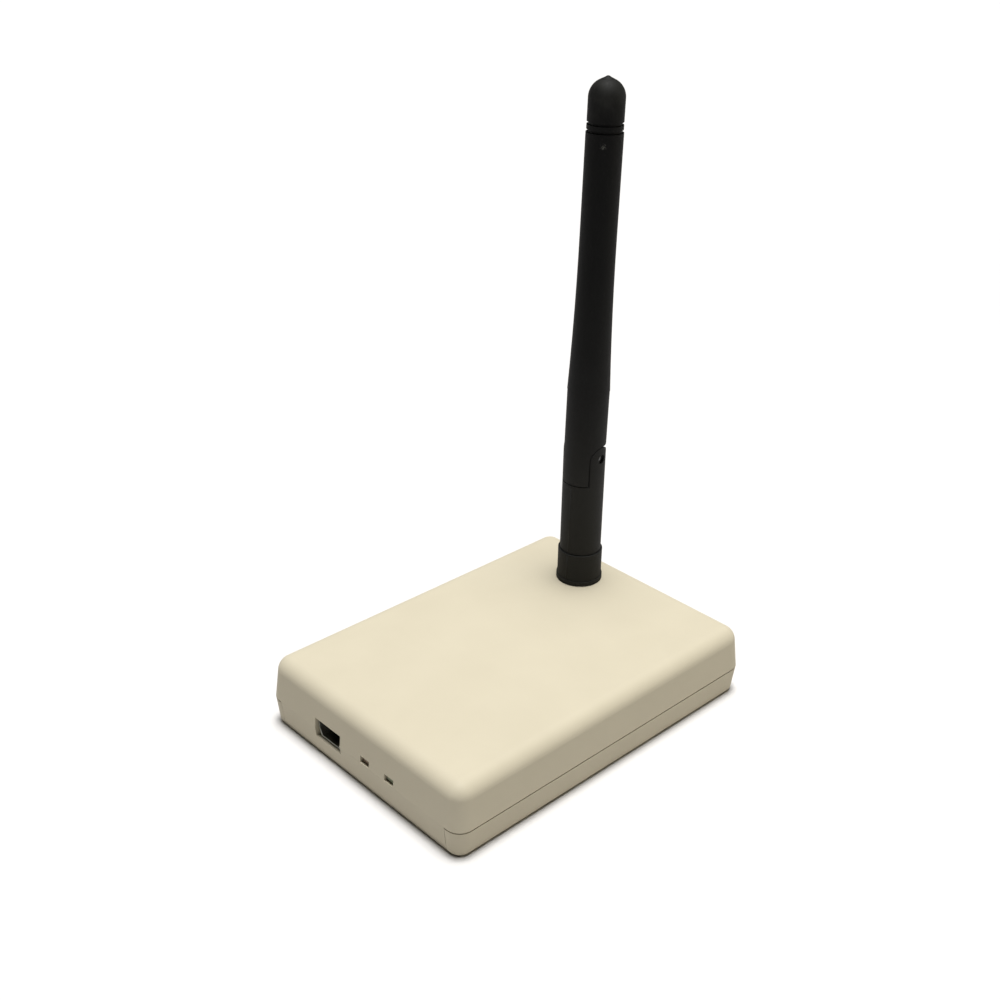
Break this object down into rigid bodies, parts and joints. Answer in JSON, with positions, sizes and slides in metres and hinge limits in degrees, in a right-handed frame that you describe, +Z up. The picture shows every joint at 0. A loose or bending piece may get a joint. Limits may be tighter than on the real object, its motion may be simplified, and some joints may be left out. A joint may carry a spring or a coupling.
{
  "type": "usb radio transmitter",
  "caption": "Flat cream plastic box for a desk with a mini-USB socket and light windows in one end, and a black radio antenna on top that swivels and tilts.",
  "frame": {"origin": "middle of the case's underside, on the surface that it stands on", "axes": "+Z up; +X along the case, away from the end with the USB socket; +Y towards the long side that the antenna stands near"},
  "size_m": [0.0834, 0.0602, 0.1271],
  "materials": {
    "case_plastic": "fine matt moulded, cream",
    "antenna_plastic": "matt moulded, black",
    "socket_plastic": "black",
    "holder_plastic": "black",
    "board_laminate": "green solder mask",
    "chip_resin": "black moulding resin",
    "capacitor_resin": "ochre moulding resin",
    "tinned_steel": "tinned",
    "screw_steel": "zinc plated",
    "pin_steel": "plain steel",
    "crystal_lid_metal": "plain lid on a ceramic base",
    "gold_plate": "gold plated",
    "connector_brass": "gold plated",
    "nut_brass": "plain brass",
    "radiator_copper": "copper coloured wire",
    "white_insulator": "white fluoropolymer",
    "lead_jacket": "brown fluoropolymer jacket",
    "red_resin": "red tinted, unlit",
    "green_resin": "green tinted, unlit"
  },
  "bodies": {
    "case": {"top_cover": "case_plastic", "bottom_cover": "case_plastic", "cover_screws": "screw_steel", "circuit_board": "board_laminate", "usb_shell": "tinned_steel", "usb_insulator": "socket_plastic", "usb_contacts": "gold_plate", "red_light": "red_resin", "green_light": "green_resin", "light_holders": "holder_plastic", "microcontroller": "chip_resin", "usb_chip": "chip_resin", "radio_chip": "chip_resin", "radio_shield": "tinned_steel", "crystal": "crystal_lid_metal", "voltage_regulator": "chip_resin", "filter_capacitors": "capacitor_resin", "antenna_jack": "connector_brass", "jack_insulator": "white_insulator", "jack_contact": "gold_plate", "coupling_nut": "nut_brass", "nut_sleeve": "antenna_plastic"},
    "antenna_base": {"plug_body": "connector_brass", "plug_insulator": "white_insulator", "plug_pin": "gold_plate", "antenna_stub": "antenna_plastic", "stub_lead": "lead_jacket", "hinge_pin": "pin_steel"},
    "antenna_blade": {"antenna_knuckle": "antenna_plastic", "antenna_tube": "antenna_plastic", "antenna_cap": "antenna_plastic", "blade_lead": "lead_jacket", "radiator_coil": "radiator_copper"}
  },
  "joints": [
    {"name": "antenna_swivel", "type": "hinge", "parent": "case", "child": "antenna_base", "pos_m": [0.0303, 0.0094, 0.04], "axis": [0, 0, 1], "continuous": true},
    {"name": "antenna_tilt", "type": "hinge", "parent": "antenna_base", "child": "antenna_blade", "pos_m": [0.0303, 0.0094, 0.0472], "axis": [-0.1392, 0.9903, 0], "range_deg": [-1.4, 88.6]}
  ]
}
